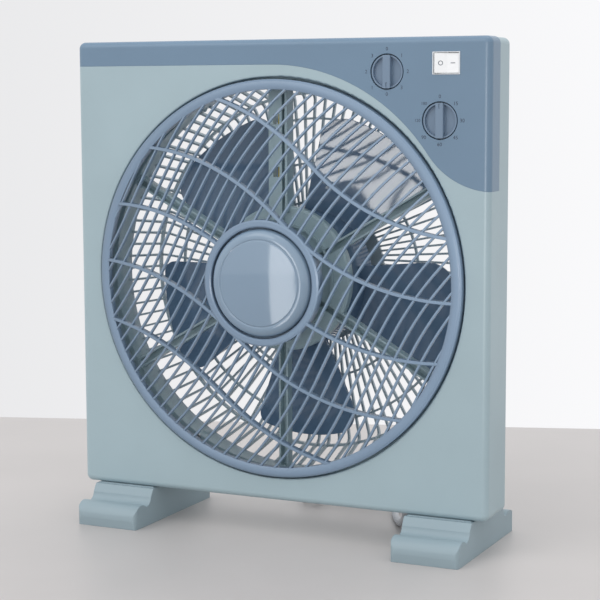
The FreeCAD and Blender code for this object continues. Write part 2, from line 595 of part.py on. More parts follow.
def spinner_nut():
    """Wing nut with a domed nose that holds the blade on its shaft."""
    nose = turned([(3.0, 33.0), (6.0, 33.0), (8.5, 35.5), (9.0, 41.6), (3.0, 41.6)])
    wings = [spun(box(6.0, 12.5, 34.5, 39.5, AXIS_Z - 1.4, AXIS_Z + 1.4), 120.0 * k) for k in range(3)]
    return joined(nose, wings)


# ---- fan blade ----------------------------------------------------------------------------------
def blade_depth(u):
    """Depth of the blade's front, from its leading edge (u = -1) to its trailing edge (u = 1)."""
    return BLADE_MID_D - BLADE_HALF_D * u + BLADE_CAMBER * (1 - u * u) - BLADE_T / 2


def one_blade():
    lines = []
    stations = 9
    for k in range(stations):
        u = -1.12 + 2.24 * k / (stations - 1)
        a = u * BLADE_SPAN / 2
        d = blade_depth(u)
        ends = [at(r * math.cos(a), d, AXIS_Z + r * math.sin(a)) for r in (HUB_R - 1.2, BLADE_R + 6)]
        lines.append(Part.Wire([Part.LineSegment(*ends).toShape()]))
    sheet = Part.makeLoft(lines, False, False)
    slab = sheet.Faces[0].extrude(V(0, BLADE_T, 0))
    lead, trail = -BLADE_SPAN / 2, BLADE_SPAN / 2
    taper = BLADE_TAPER

    def corner(r, a):
        return at(r * math.cos(a), 20, AXIS_Z + r * math.sin(a))

    r0, r1 = HUB_R - 1.0, BLADE_R
    edges = [Part.LineSegment(corner(r0, lead - taper), corner(r1, lead + taper)).toShape(),
             Part.Arc(corner(r1, lead + taper), corner(r1, 0), corner(r1, trail - taper)).toShape(),
             Part.LineSegment(corner(r1, trail - taper), corner(r0, trail + taper)).toShape(),
             Part.Arc(corner(r0, trail + taper), corner(r0, 0), corner(r0, lead - taper)).toShape()]
    outline = Part.Face(Part.Wire(edges)).extrude(V(0, 80, 0))

    def edge_at(angle):
        x, _, z = corner(r1, angle)
        return [e for e in outline.Edges if all(abs(v.Point.x - x) < 0.01 and abs(v.Point.z - z) < 0.01
                                                for v in e.Vertexes)]
    outline = outline.makeFillet(BLADE_LEAD_R, edge_at(lead + taper))
    outline = outline.makeFillet(BLADE_TRAIL_R, edge_at(trail - taper))
    return slab.common(outline)


def fan_blade():
    cup = turned([(SHAFT_R, HUB_D + 2), (10, HUB_D + 2), (12, HUB_D), (HUB_R - 8, HUB_D), None,
                  (HUB_R - 3.4, HUB_D + 2.0), (HUB_R - 1.2, HUB_D + 7), (HUB_R, HUB_REAR_D),
                  (HUB_R - 2, HUB_REAR_D), (HUB_R - 3.2, HUB_D + 7), (HUB_R - 9, HUB_D + 2.2),
                  (11, HUB_D + 2.2), (11, HUB_D + 14), (SHAFT_R, HUB_D + 14)])
    rib = box(10.5, HUB_R - 3.4, HUB_D + 1, HUB_D + 9, AXIS_Z - 0.8, AXIS_Z + 0.8)
    ribs = spun_copies(rib, 2 * BLADE_COUNT, 18.0)
    blades = spun_copies(one_blade(), BLADE_COUNT, BLADE_FIRST)
    return joined(cup, ribs + blades)


# ---- controls -----------------------------------------------------------------------------------
def knob(x, z, r, pointer_up):
    """A round knob with a grip bar between two scooped hollows, sunk in its well."""
    disc = rod(r, WELL_D - 3.0, WELL_D - GAP, x, z)
    lip = pipe(r, r - 1.4, 0.6, WELL_D - 1.5, x, z)
    bar = box(x - 3.4, x + 3.4, -1.6, WELL_D - 1, z - r + 0.2, z + r - 0.2).common(rod(r, -3, 10, x, z))
    notch_z = z + r - 5.0 if pointer_up else z - r + 1.0
    notch = box(x - 0.6, x + 0.6, -2, -1.1, notch_z, notch_z + 4.0)
    stem = pipe(KNOB_STEM_R + 2.0, KNOB_STEM_R, WELL_D - 3.5, WELL_D - GAP, x, z)
    body = joined(disc, [lip, bar]).cut(notch)
    return body.cut(rod(KNOB_STEM_R, WELL_D - 4.0, WELL_D + 1, x, z)).fuse(stem).removeSplitter()


def spindle(x, z):
    return rod(KNOB_STEM_R, WELL_D - 4.0, WELL_D + 12.0, x, z)


EAR_REACH = 22.5


def switch_body(x, z, case):
    """A rotary control behind the panel, with a bush in the panel's hole and two screw ears."""
    d0 = WELL_D + WELL_T
    bush = rod(4.2, WELL_D, d0 + 1, x, z)
    ears = box(x - EAR_REACH - 3, x + EAR_REACH + 3, d0 + 2.0, d0 + 3.5, z - 4, z + 4)
    body = joined(case, [bush, ears]).cut(rod(KNOB_STEM_R + RUNNING_FIT, WELL_D - 1, d0 + 13.0, x, z))
    for sign in (-1, 1):
        body = body.cut(rod(1.4, d0, d0 + 6, x + sign * EAR_REACH, z))
    return body


def speed_switch_body():
    d0 = WELL_D + WELL_T
    case = box(SPEED_X - 16, SPEED_X + 16, d0, d0 + 17, SPEED_Z - 16, SPEED_Z + 16)
    pins = [box(SPEED_X + dx - 2.4, SPEED_X + dx + 2.4, d0 + 16, d0 + 24, SPEED_Z - 0.4, SPEED_Z + 0.4)
            for dx in (-11, -4, 4, 11)]
    return switch_body(SPEED_X, SPEED_Z, joined(case, pins))


def timer_body():
    d0 = WELL_D + WELL_T
    case = rod(19.0, d0, d0 + 28, TIMER_X, TIMER_Z)
    pins = [box(TIMER_X + dx - 2.4, TIMER_X + dx + 2.4, d0 + 27, d0 + 35, TIMER_Z + 4.6, TIMER_Z + 5.4)
            for dx in (-7, 7)]
    return switch_body(TIMER_X, TIMER_Z, joined(case, pins))


CONTROL_SCREWS = [(x + sign * EAR_REACH, z) for x, z in ((SPEED_X, SPEED_Z), (TIMER_X, TIMER_Z))
                  for sign in (-1, 1)]


def control_screws():
    head = WELL_D + WELL_T + 3.5
    return Part.makeCompound([screw(x, z, head, WALL + 1.0, 2.6, 1.4) for x, z in CONTROL_SCREWS])


PIVOT_D = 3.4


def rocker_frame():
    w, h = ROCKER_W / 2, ROCKER_H / 2
    frame = box(ROCKER_X - w, ROCKER_X + w, -0.4, 15, ROCKER_Z - h, ROCKER_Z + h)
    hollow = box(ROCKER_X - w + ROCKER_WALL, ROCKER_X + w - ROCKER_WALL, -2, 13,
                 ROCKER_Z - h + ROCKER_WALL, ROCKER_Z + h - ROCKER_WALL)
    pins = [box(ROCKER_X + dx - 2.4, ROCKER_X + dx + 2.4, 14, 22, ROCKER_Z - 0.4, ROCKER_Z + 0.4)
            for dx in (-6, 6)]
    axle = Part.makeCylinder(1.5 + RUNNING_FIT, ROCKER_H + 4, at(ROCKER_X, PIVOT_D, ROCKER_Z - h - 2))
    return frame.cut(hollow).cut(axle).fuse(pins).removeSplitter()


def rocker():
    """Two flats that meet in a shallow V, tipped so that the right-hand flat lies level."""
    reach = 10.5
    rise = reach * math.tan(math.radians(ROCKER_TILT))
    h = ROCKER_H / 2 - ROCKER_WALL - GAP
    points = [(-reach, -4.0 - 0.2), (0, -4.2 + rise), (reach, -4.0 - 0.2), (reach - 0.2, -0.5), (4.0, 3.6),
              (-4.0, 3.6), (-reach + 0.2, -0.5)]
    wire = Part.makePolygon([at(ROCKER_X + x, PIVOT_D + d, ROCKER_Z - h) for x, d in points + points[:1]])
    body = Part.Face(wire).extrude(V(0, 0, 2 * h))
    axle = Part.makeCylinder(1.5, ROCKER_H - 0.4, at(ROCKER_X, PIVOT_D, ROCKER_Z - ROCKER_H / 2 + 0.2))
    body = body.fuse(axle).removeSplitter()
    body.rotate(at(ROCKER_X, PIVOT_D, ROCKER_Z), V(0, 0, 1), ROCKER_TILT)
    return body


# ---- wiring inside the housing ------------------------------------------------------------------
def capacitor():
    return rounded_box(-162, -124, 4, 22, 398, 424, 2.0)


def capacitor_clip():
    strap = rounded_box(-148, -138, 2.5, 23.2, 396.8, 425.2, 2.0)
    return strap.cut(rounded_box(-162, -124, 4, 22, 398, 424, 2.0))


def terminal_block():
    block = box(92, 112, 8, 22, BOX_Z + WALL, 46)
    for dx in (97, 102, 107):
        block = block.cut(rod(1.6, 18, 23, dx, 41))
    return block


def panel_wires():
    """Leads between the cord's terminals, the controls, the capacitor and the motor."""
    routes = [[at(114, 15, 44), at(150, 14, 57), at(190, 12, 90), at(191, 12, 330), at(188, 17, 362),
               at(177, 20, 373)],
              [at(138.5, 20, 388), at(131, 20, 396), at(125.5, 18, 404)],
              [at(89, 16, 414), at(60, 16, 421), at(-80, 17, 421), at(-121.5, 14, 414)]]
    return Part.makeCompound([tube_along(route, 1.8)[0] for route in routes])


COVER_ANGLE = 52.0


def lead_cover_outline(inset):
    bend = 0.6 * inset
    return [(46 + inset, 85 + inset), (148 + bend, 82 + inset), (154 + inset, 76 + bend), (159 + inset, 46 + inset),
            (172.6 - inset, 46 + inset), (160.2 - inset, 83.0 - bend), (153.5 - bend, 89.0 - inset),
            (60, 93.4 - inset), (46 + inset, 93.4 - inset)]


def extrude_across(points, half):
    wire = Part.makePolygon([at(r, d, AXIS_Z - half) for r, d in points + points[:1]])
    return Part.Face(wire).extrude(V(0, 0, 2 * half))


def motor_lead_cover():
    """Channel along the inside of the basket, from the motor to the controls."""
    cover = extrude_across(lead_cover_outline(0.0), 5.0).cut(extrude_across(lead_cover_outline(1.8), 3.2))
    opening = box(40, 52, 88, 92, AXIS_Z - 2.4, AXIS_Z + 2.4)
    return spun(cover.cut(opening), COVER_ANGLE)


def motor_leads():
    route = [at(44, 89.2, AXIS_Z), at(70, 88.6, AXIS_Z), at(108, 87.1, AXIS_Z), at(144, 85.8, AXIS_Z)]
    return spun(tube_along(route, 1.2)[0], COVER_ANGLE)


# ---- feet ---------------------------------------------------------------------------------------
def foot(sign):
    """A foot with a rounded toe before and behind, hollow underneath."""
    mid = (FOOT_FRONT_D + FOOT_REAR_D) / 2
    top = BOX_Z

    def edge(*points):
        return [at(FOOT_X0, d, z) for d, z in points]

    def half(mirror):
        def m(d):
            return 2 * mid - d if mirror else d
        a = edge((m(-1.5), top), (m(-6.5), 25.0), (m(-9.5), 19.6), (m(-16.0), 18.2), (m(-30.5), 19.0),
                 (m(FOOT_FRONT_D), 8.0), (m(FOOT_FRONT_D + 1.5), 0))
        return [Part.LineSegment(a[0], a[1]).toShape(), Part.Arc(a[1], a[2], a[3]).toShape(),
                Part.Arc(a[3], a[4], a[5]).toShape(), Part.LineSegment(a[5], a[6]).toShape()]

    front, rear = half(False), half(True)
    top_edge = Part.LineSegment(*edge((-1.5, top), (2 * mid + 1.5, top))).toShape()
    bottom = Part.LineSegment(*edge((FOOT_FRONT_D + 1.5, 0), (FOOT_REAR_D - 1.5, 0))).toShape()
    wire = Part.Wire(Part.__sortEdges__(front + rear + [top_edge, bottom]))
    solid = Part.Face(wire).extrude(V(FOOT_X1 - FOOT_X0, 0, 0))
    plan = Part.makeBox(FOOT_X1 - FOOT_X0, FOOT_REAR_D - FOOT_FRONT_D, 40, at(FOOT_X0, FOOT_FRONT_D, -2))
    upright = [e for e in plan.Edges if abs(e.tangentAt(e.FirstParameter).z) > 0.99]
    solid = solid.common(plan.makeFillet(5.0, upright))
    # narrow step round the top, which leaves a dark line under the housing
    step = box(FOOT_X0 - 1, FOOT_X1 + 1, -3, 1.5, top - 0.9, top + 1)
    rear_step = box(FOOT_X0 - 1, FOOT_X1 + 1, BOX_D - 1.5, 2 * mid + 3, top - 0.9, top + 1)
    solid = solid.cut(step).cut(rear_step)
    for x0, x1 in ((FOOT_X0 - 1, FOOT_X0 + 2), (FOOT_X1 - 2, FOOT_X1 + 1)):
        solid = solid.cut(box(x0, x1, -3, 2 * mid + 3, top - 0.9, top + 1))
    solid = solid.cut(box(FOOT_X0 + 3, FOOT_X1 - 3, FOOT_FRONT_D + 4.5, FOOT_REAR_D - 4.5, -1, 12))
    solid = solid.cut(box(FOOT_X0 + 3, FOOT_X1 - 3, -1, 2 * mid + 1, -1, top - 5))
    for x, d in FOOT_SCREWS:
        if x > 0:
            solid = solid.cut(Part.makeCylinder(FOOT_SCREW_R, 20, at(x, d, top - 12)))
    if sign < 0:
        solid = solid.mirror(V(0, 0, 0), V(1, 0, 0))
    return solid


def foot_screws():
    screws = []
    for x, d in FOOT_SCREWS:
        head = Part.makeCylinder(4.0, 2.2, at(x, d, BOX_Z - 7.2))
        head = head.cut(Part.makeBox(4, 1, 1, at(x - 2, d - 0.5, BOX_Z - 7.3)))
        screws.append(head.fuse(Part.makeCylinder(FOOT_SCREW_R, 16, at(x, d, BOX_Z - 5.0))))
    return Part.makeCompound(screws)


def shell_screws():
    return Part.makeCompound([screw(x, z, BOX_D - 4.0, 12.0, 3.6, 2.0) for x, z in SCREW_POSTS])


# ---- power cord ---------------------------------------------------------------------------------
CORD_Z = CORD_R + 0.2
COIL_X, COIL_Y = 20.0, 146.0
COIL_STEP = 6.2
COIL_R = 36.2                   # middle turn
GLAND_END = tuple(GLAND_BASE[i] + GLAND_DIR[i] * GLAND_L for i in range(3))
CORD_ROUTE = [(GLAND_END[0], GLAND_END[1] + FACE_Y, GLAND_END[2]),
              (93.4, 33.5, CORD_Z), (78.0, 58.0, CORD_Z), (66.5, 84.0, CORD_Z), (62.6, 114.0, CORD_Z),
              (COIL_X + COIL_R + COIL_STEP, COIL_Y, CORD_Z)]


def cord_gland():
    """Tapered strain relief that leaves the shell low and slopes towards the floor."""
    base, direction = at(*GLAND_BASE), V(*GLAND_DIR)
    neck = Part.makeCylinder(5.4, 14.0, base, direction)
    cone = Part.makeCone(5.4, 4.0, GLAND_L - 14.0, base + direction * 14.0, direction)
    gland = neck.fuse(cone)
    for k in range(4):
        groove = base + direction * (18.0 + 3.6 * k)
        ring = Part.makeCylinder(8, 1.2, groove, direction).cut(Part.makeCylinder(3.9, 1.2, groove, direction))
        gland = gland.cut(ring)
    return gland


def cord_coil():
    """Six turns in a flat round coil: three on the floor, two in their furrows and one on top."""
    rise = math.sqrt(3) / 2 * COIL_STEP
    turns = []
    for layer, offsets in enumerate(((-1, 0, 1), (-0.5, 0.5), (0,))):
        for n in offsets:
            turns.append(Part.makeTorus(COIL_R + n * COIL_STEP, CORD_R, V(COIL_X, COIL_Y, CORD_Z + layer * rise)))
    return turns[0].fuse(turns[1:]).removeSplitter()


def plug():
    """Flat two-pin plug that lies beside the coil, its sleeve on the outer turn."""
    x, y = COIL_X - COIL_R - COIL_STEP, COIL_Y
    z = 7.2
    sleeve = Part.makeCone(4.0, 5.2, 22, V(x, y, z), V(0, -1, 0))
    body = Part.makeBox(26, 30, 13.6, V(x - 13, y - 50, z - 6.8))
    body = body.makeFillet(3.0, [e for e in body.Edges if abs(e.tangentAt(e.FirstParameter).y) > 0.9])
    pins = [Part.makeCylinder(2.0, 20, V(x + dx, y - 50, z), V(0, -1, 0)) for dx in (-8.5, 8.5)]
    return body.fuse([sleeve] + pins).removeSplitter()


# ---- all nodes ----------------------------------------------------------------------------------
shell, panel = front_shell_and_panel()
for x, z in CONTROL_SCREWS:
    post = rod(3.2, WALL - 0.5, WELL_D + WELL_T + 2.0, x, z).cut(rod(1.4, WALL + 1.0, 20, x, z))
    panel = panel.fuse(post)
cord, cord_path, cord_radii = tube_along(CORD_ROUTE, CORD_R)
section = math.pi * CORD_R ** 2
print("cord radii", [round(r, 1) for r in cord_radii])
print("cord length %.1f, volume %.0f, section x length %.0f"
      % (cord_path.Length, cord.Volume, section * cord_path.Length))

NODES = {
    "front_shell": shell, "control_panel": panel.removeSplitter(), "rear_shell": rear_shell(),
    "rear_grille": rear_grille(), "foot_left": foot(-1), "foot_right": foot(1),
    "foot_screws": foot_screws(), "shell_screws": shell_screws(),
    "louver_bracket": louver_bracket(), "bracket_screws": bracket_screws(), "louver_motor": louver_motor(),
    "louver_motor_screws": louver_motor_screws(), "louver_leads": louver_leads(),
    "motor_front_cover": motor_cover(FRONT_D, STATOR_D0 + 6, 57.0, 66.0),
    "motor_rear_cover": motor_rear_cover(), "motor_stator": motor_stator(), "motor_coils": motor_coils(),
    "front_bearing": pipe(BEARING_R, SHAFT_R + RUNNING_FIT, 57.5, 65.5),
    "rear_bearing": pipe(BEARING_R, SHAFT_R + RUNNING_FIT, 85.0, 95.0),
    "motor_screws": motor_screws(), "motor_mount_screws": motor_mount_screws(),
    "motor_lead_cover": motor_lead_cover(), "motor_leads": motor_leads(),
    "capacitor": capacitor(), "capacitor_clip": capacitor_clip(),
    "speed_switch_body": speed_switch_body(), "timer_body": timer_body(), "control_screws": control_screws(),
    "rocker_frame": rocker_frame(), "terminal_block": terminal_block(), "panel_wires": panel_wires(),
    "cord_gland": cord_gland(), "power_cord": cord, "cord_coil": cord_coil(), "plug": plug(),
    "fan_blade": fan_blade(), "spinner_nut": spinner_nut(), "motor_shaft": motor_shaft(),
    "motor_rotor": motor_rotor(),
    "louver_grille": louver_grille(), "louver_cap": louver_cap(), "louver_spindle": louver_spindle(),
    "louver_screw": louver_screw(),
    "speed_knob": knob(SPEED_X, SPEED_Z, SPEED_R, False), "speed_spindle": spindle(SPEED_X, SPEED_Z),
    "timer_knob": knob(TIMER_X, TIMER_Z, TIMER_R, True), "timer_spindle": spindle(TIMER_X, TIMER_Z),
    "rocker": rocker(),
}
for name, shape in NODES.items():
    export(name, shape)
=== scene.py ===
import bpy
import json
import math
from mathutils import Matrix, Vector


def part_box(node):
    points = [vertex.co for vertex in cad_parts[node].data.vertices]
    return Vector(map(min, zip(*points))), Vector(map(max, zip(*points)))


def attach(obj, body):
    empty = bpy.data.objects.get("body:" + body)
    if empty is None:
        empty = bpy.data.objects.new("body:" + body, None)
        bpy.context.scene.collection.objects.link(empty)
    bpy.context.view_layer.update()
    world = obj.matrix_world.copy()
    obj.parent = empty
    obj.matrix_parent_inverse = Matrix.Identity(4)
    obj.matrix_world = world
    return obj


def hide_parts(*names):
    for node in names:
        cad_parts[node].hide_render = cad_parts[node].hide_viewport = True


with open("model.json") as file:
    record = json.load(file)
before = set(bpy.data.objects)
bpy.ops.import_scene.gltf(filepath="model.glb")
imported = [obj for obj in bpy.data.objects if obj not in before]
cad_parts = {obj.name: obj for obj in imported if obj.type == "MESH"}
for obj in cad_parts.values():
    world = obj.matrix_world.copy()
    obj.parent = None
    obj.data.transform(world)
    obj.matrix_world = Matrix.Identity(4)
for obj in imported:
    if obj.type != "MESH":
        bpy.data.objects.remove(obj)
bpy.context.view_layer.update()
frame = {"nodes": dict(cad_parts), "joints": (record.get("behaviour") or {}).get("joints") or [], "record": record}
NODES = frame["nodes"]

# All lengths are in metres, with X to the right, Y to the rear and Z up.

# ---- places, from the frame ---------------------------------------------------------------------
FACE_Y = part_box("front_shell")[0].y
AXIS_Z = {j["name"]: Vector(j["pos_m"]) for j in frame["joints"]}["fan_spin"].z     # height of the fan's axis

# ---- power cord, along the route that the CAD has ---------------------------------------------------
CORD_R = 0.0032
CORD_ROUTE = [(0.10497, 0.01539, 0.01848), (0.0934, 0.0335, 0.0034), (0.0780, 0.0580, 0.0034),
              (0.0665, 0.0840, 0.0034), (0.0626, 0.1140, 0.0034), (0.0624, 0.1460, 0.0034)]
COIL_CENTRE = Vector((0.020, 0.146, 0.0034))
COIL_OUT_R, COIL_TURN = 0.0424, 0.0070      # radius of the outermost turn, and the step between turns
COIL_LAYER = 2.0 * CORD_R                   # rise from one layer of turns to the next
COIL_STEPS = 16                             # points to a turn
LAYER_TURNS, TOP_TURNS = 2, 1.5             # turns in each of the two lower layers, and in the top one
TOP_WAVE = 0.004                            # how far the top layer's turns wander inwards
COIL_SQUASH = 0.92                          # the coil is a little flat on its left
CLIMB_STEPS = 3                             # points taken to climb a layer
DROP_TURN, SETTLE_STEPS = 5, 2              # the cord comes down this many points after this turn
PLUG_HEIGHT = 0.0038                        # the cord's middle above the lowest turns where it meets the plug


# ---- mesh helpers -------------------------------------------------------------------------------
SMOOTH_ANGLE = math.radians(35.0)           # edges sharper than this stay sharp


def mesh_object(name, verts, faces):
    """A new mesh piece in the scene, smooth but for its sharp edges."""
    mesh = bpy.data.meshes.new(name)
    mesh.from_pydata([tuple(v) for v in verts], [], faces)
    mesh.validate()
    mesh.update()
    mesh.polygons.foreach_set("use_smooth", [True] * len(mesh.polygons))
    mesh.set_sharp_from_angle(angle=SMOOTH_ANGLE)
    piece = bpy.data.objects.new(name, mesh)
    bpy.context.scene.collection.objects.link(piece)
    return piece


# ---- materials ----------------------------------------------------------------------------------
CLOUD_SIZE, CLOUD_DETAIL = 14.0, 3.0        # broad cloudiness of a plastic
STREAK_SIZE, STREAK_DETAIL = 260.0, 4.0     # fine streaks of a metal
WIND_SIZE, WIND_STRAY = 60.0, 0.4           # uneven gloss of a banded piece, and how far its bands stray
GRAIN_DEPTH, STREAK_DEPTH, BAND_DEPTH = 0.0002, 0.0001, 0.0003
RAMP_LOW, RAMP_HIGH = 0.3, 0.7              # the range of a noise that takes up the whole tint
COAT_ROUGH = 0.06
EDGE_SAMPLES = 4                            # rays that look for an edge to soften
BANDS_AT_ONE = 3.18                         # bands to the metre of a wave texture whose scale is 1


def srgb(r, g, b):
    """Linear colour from 0-255 display values."""
    def line(c):
        c /= 255.0
        return c / 12.92 if c <= 0.04045 else ((c + 0.055) / 1.055) ** 2.4
    return (line(r), line(g), line(b), 1.0)


def shader(name):
    """An empty material with its output and principled shader."""
    mat = bpy.data.materials.new(name)
    mat.use_nodes = True
    nt = mat.node_tree
    nt.nodes.clear()
    out = nt.nodes.new("ShaderNodeOutputMaterial")
    bsdf = nt.nodes.new("ShaderNodeBsdfPrincipled")
    nt.links.new(bsdf.outputs[0], out.inputs[0])
    return mat, nt, bsdf


def noise(nt, scale, detail=2.0, stretch=(1, 1, 1)):
    """Noise in the object's own coordinates, drawn out along an axis by a small stretch."""
    coord = nt.nodes.new("ShaderNodeTexCoord")
    mapping = nt.nodes.new("ShaderNodeMapping")
    mapping.inputs["Scale"].default_value = stretch
    tex = nt.nodes.new("ShaderNodeTexNoise")
    tex.inputs["Scale"].default_value = scale
    tex.inputs["Detail"].default_value = detail
    nt.links.new(coord.outputs["Object"], mapping.inputs["Vector"])
    nt.links.new(mapping.outputs["Vector"], tex.inputs["Vector"])
    return tex.outputs["Fac"]


def tinted(nt, bsdf, value, colour, spread):
    """Base colour that drifts a little round a colour."""
    ramp = nt.nodes.new("ShaderNodeValToRGB")
    low, high = ramp.color_ramp.elements
    low.position, high.position = RAMP_LOW, RAMP_HIGH
    low.color = tuple(c * (1 - spread) for c in colour[:3]) + (1,)
    high.color = tuple(min(1.0, c * (1 + spread)) for c in colour[:3]) + (1,)
    nt.links.new(value, ramp.inputs["Fac"])
    nt.links.new(ramp.outputs["Color"], bsdf.inputs["Base Color"])


def glossed(nt, bsdf, value, rough, spread=0.12):
    """Roughness that drifts a little round a value."""
    gloss = nt.nodes.new("ShaderNodeMapRange")
    gloss.inputs["To Min"].default_value = rough * (1 - spread)
    gloss.inputs["To Max"].default_value = rough * (1 + spread)
    nt.links.new(value, gloss.inputs["Value"])
    nt.links.new(gloss.outputs["Result"], bsdf.inputs["Roughness"])


def grained(nt, bsdf, value, strength, depth, edge=0.0):
    """Fine relief over edges that are softened by a small radius, in metres."""
    bump = nt.nodes.new("ShaderNodeBump")
    bump.inputs["Strength"].default_value = strength
    bump.inputs["Distance"].default_value = depth
    nt.links.new(value, bump.inputs["Height"])
    if edge:
        soft = nt.nodes.new("ShaderNodeBevel")
        soft.samples = EDGE_SAMPLES
        soft.inputs["Radius"].default_value = edge
        nt.links.new(soft.outputs["Normal"], bump.inputs["Normal"])
    nt.links.new(bump.outputs["Normal"], bsdf.inputs["Normal"])


def plastic(name, colour, rough=0.4, grain=0.15, grain_size=900.0, mottle=0.03, coat=0.0, edge=0.0006,
            specular=0.5):
    """Moulded plastic: faint cloudiness, a fine grain, a slightly uneven gloss and soft edges."""
    mat, nt, bsdf = shader(name)
    cloud = noise(nt, CLOUD_SIZE, CLOUD_DETAIL)
    tinted(nt, bsdf, cloud, colour, mottle)
    glossed(nt, bsdf, cloud, rough)
    grained(nt, bsdf, noise(nt, grain_size), grain, GRAIN_DEPTH, edge)
    bsdf.inputs["Specular IOR Level"].default_value = specular
    if coat:
        bsdf.inputs["Coat Weight"].default_value = coat
        bsdf.inputs["Coat Roughness"].default_value = COAT_ROUGH
    return mat


def metal(name, colour, rough=0.32, stretch=(1, 1, 1), streaks=0.1, edge=0.0004):
    """Bare or plated metal with fine streaks along one axis."""
    mat, nt, bsdf = shader(name)
    bsdf.inputs["Metallic"].default_value = 1.0
    streak = noise(nt, STREAK_SIZE, STREAK_DETAIL, stretch)
    tinted(nt, bsdf, streak, colour, streaks)
    glossed(nt, bsdf, streak, rough, spread=0.3)
    grained(nt, bsdf, streak, 0.2, STREAK_DEPTH, edge)
    return mat


def banded(name, colour, rough, pitch, direction, metallic=0.0):
    """Fine parallel bands, such as stacked sheets or wound wire."""
    mat, nt, bsdf = shader(name)
    bsdf.inputs["Metallic"].default_value = metallic
    coord = nt.nodes.new("ShaderNodeTexCoord")
    wave = nt.nodes.new("ShaderNodeTexWave")
    wave.bands_direction = direction
    wave.inputs["Scale"].default_value = 1.0 / (BANDS_AT_ONE * pitch)
    wave.inputs["Distortion"].default_value = WIND_STRAY
    nt.links.new(coord.outputs["Object"], wave.inputs["Vector"])
    tinted(nt, bsdf, wave.outputs["Fac"], colour, spread=0.25)
    glossed(nt, bsdf, noise(nt, WIND_SIZE), rough)
    grained(nt, bsdf, wave.outputs["Fac"], 0.6, BAND_DEPTH)
    return mat


SHELL = plastic("shell_plastic", srgb(164, 185, 192), rough=0.36, grain=0.10)
FOOT = plastic("foot_plastic", srgb(150, 169, 177), rough=0.48, grain=0.12)
PANEL = plastic("panel_plastic", srgb(110, 136, 159), rough=0.32, grain=0.08)
LOUVER = plastic("louver_plastic", srgb(115, 135, 156), rough=0.30, grain=0.06)
CAP = plastic("cap_plastic", srgb(128, 151, 172), rough=0.09, grain=0.0, mottle=0.015, coat=0.6)
BASKET = plastic("basket_plastic", srgb(176, 192, 200), rough=0.34, grain=0.08, edge=0.0004)
BRACKET = plastic("bracket_plastic", srgb(160, 183, 190), rough=0.30, grain=0.08)
BLADE = plastic("blade_plastic", srgb(96, 121, 147), rough=0.07, grain=0.0, mottle=0.05, specular=0.35)
KNOB = plastic("knob_plastic", srgb(117, 138, 160), rough=0.26, grain=0.05)
WHITE = plastic("switch_plastic", srgb(250, 252, 253), rough=0.22, grain=0.03, mottle=0.01)
FRAME = plastic("switch_frame_plastic", srgb(232, 236, 239), rough=0.3, grain=0.05, mottle=0.015)
SYMBOL = plastic("switch_symbols", srgb(120, 126, 134), rough=0.5, grain=0.1, edge=0.0)
CABLE = plastic("cable_jacket", srgb(196, 198, 202), rough=0.48, grain=0.22, grain_size=1600.0, edge=0.0)
PLUG = plastic("plug_plastic", srgb(190, 192, 196), rough=0.42, grain=0.2, edge=0.0008)
BLACK = plastic("black_plastic", srgb(44, 44, 47), rough=0.45, grain=0.25)
YELLOW = plastic("yellow_insulation", srgb(214, 190, 52), rough=0.45, grain=0.1, edge=0.0)
INK = plastic("dial_ink", srgb(52, 62, 80), rough=0.5, grain=0.2, edge=0.0)
ZINC = metal("zinc_plate", srgb(196, 198, 202), rough=0.30)
CASE = metal("galvanised_sheet", srgb(184, 188, 192), rough=0.38, stretch=(0.3, 0.3, 1.0), streaks=0.14)
BRONZE = metal("sintered_bronze", srgb(176, 138, 84), rough=0.45)
STACK = banded("laminated_steel", srgb(120, 122, 126), rough=0.4, pitch=0.001, direction="Y", metallic=1.0)
COPPER = banded("enamelled_copper", srgb(170, 96, 54), rough=0.35, pitch=0.0008, direction="Z", metallic=0.8)

SLOT_MATS = {"shell_teal": SHELL, "panel_blue": PANEL, "bracket_grey": BRACKET, "blade_dark": BLADE,
             "steel": ZINC, "motor_case": CASE, "laminations": STACK, "copper": COPPER, "bronze": BRONZE,
             "yellow_lead": YELLOW, "black_plastic": BLACK, "cord_grey": CABLE, "switch_white": WHITE}
NODE_MATS = {"louver_grille": LOUVER, "louver_cap": CAP, "rear_grille": BASKET, "speed_knob": KNOB,
             "timer_knob": KNOB, "rocker_frame": FRAME, "plug": PLUG, "cord_gland": PLUG,
             "foot_left": FOOT, "foot_right": FOOT}

# ---- rounded edges ------------------------------------------------------------------------------
FEET = ("foot_left", "foot_right")
FOOT_EDGE_R, FOOT_EDGE_STEPS = 0.0024, 4
FOOT_EDGE_ANGLE = math.radians(38)          # edges sharper than this are rounded
FLAT_ANGLE = math.radians(0.5)              # faces that differ by less are one flat
WELD_REACH = 0.00002


def finish_nodes():
    """Every CAD node takes its own material, or else its slot's, and the feet get rounded edges."""
    for part in frame["record"]["subparts"]:
        node = NODES[part["node"]]
        node.data.materials.clear()
        node.data.materials.append(NODE_MATS.get(part["node"], SLOT_MATS[part["material_slot"]]))
    for name in FEET:
        weld = NODES[name].modifiers.new("weld", "WELD")
        weld.merge_threshold = WELD_REACH
        flats = NODES[name].modifiers.new("whole_flats", "DECIMATE")
        flats.decimate_type = "DISSOLVE"
        flats.angle_limit = FLAT_ANGLE
        round_off = NODES[name].modifiers.new("rounded_edges", "BEVEL")
        round_off.width = FOOT_EDGE_R
        round_off.segments = FOOT_EDGE_STEPS
        round_off.limit_method = "ANGLE"
        round_off.angle_limit = FOOT_EDGE_ANGLE
        round_off.harden_normals = True


# ---- camera, light and floor --------------------------------------------------------------------
EYE = (0.6643, -1.3918, 0.3976)
YAW, PITCH, ROLL = -0.4410, -0.1209, -0.0037        # radians; the yaw is to the right of straight ahead
SENSOR_MM, LENS_MM, CLIP_END = 36.0, 102.96, 50.0


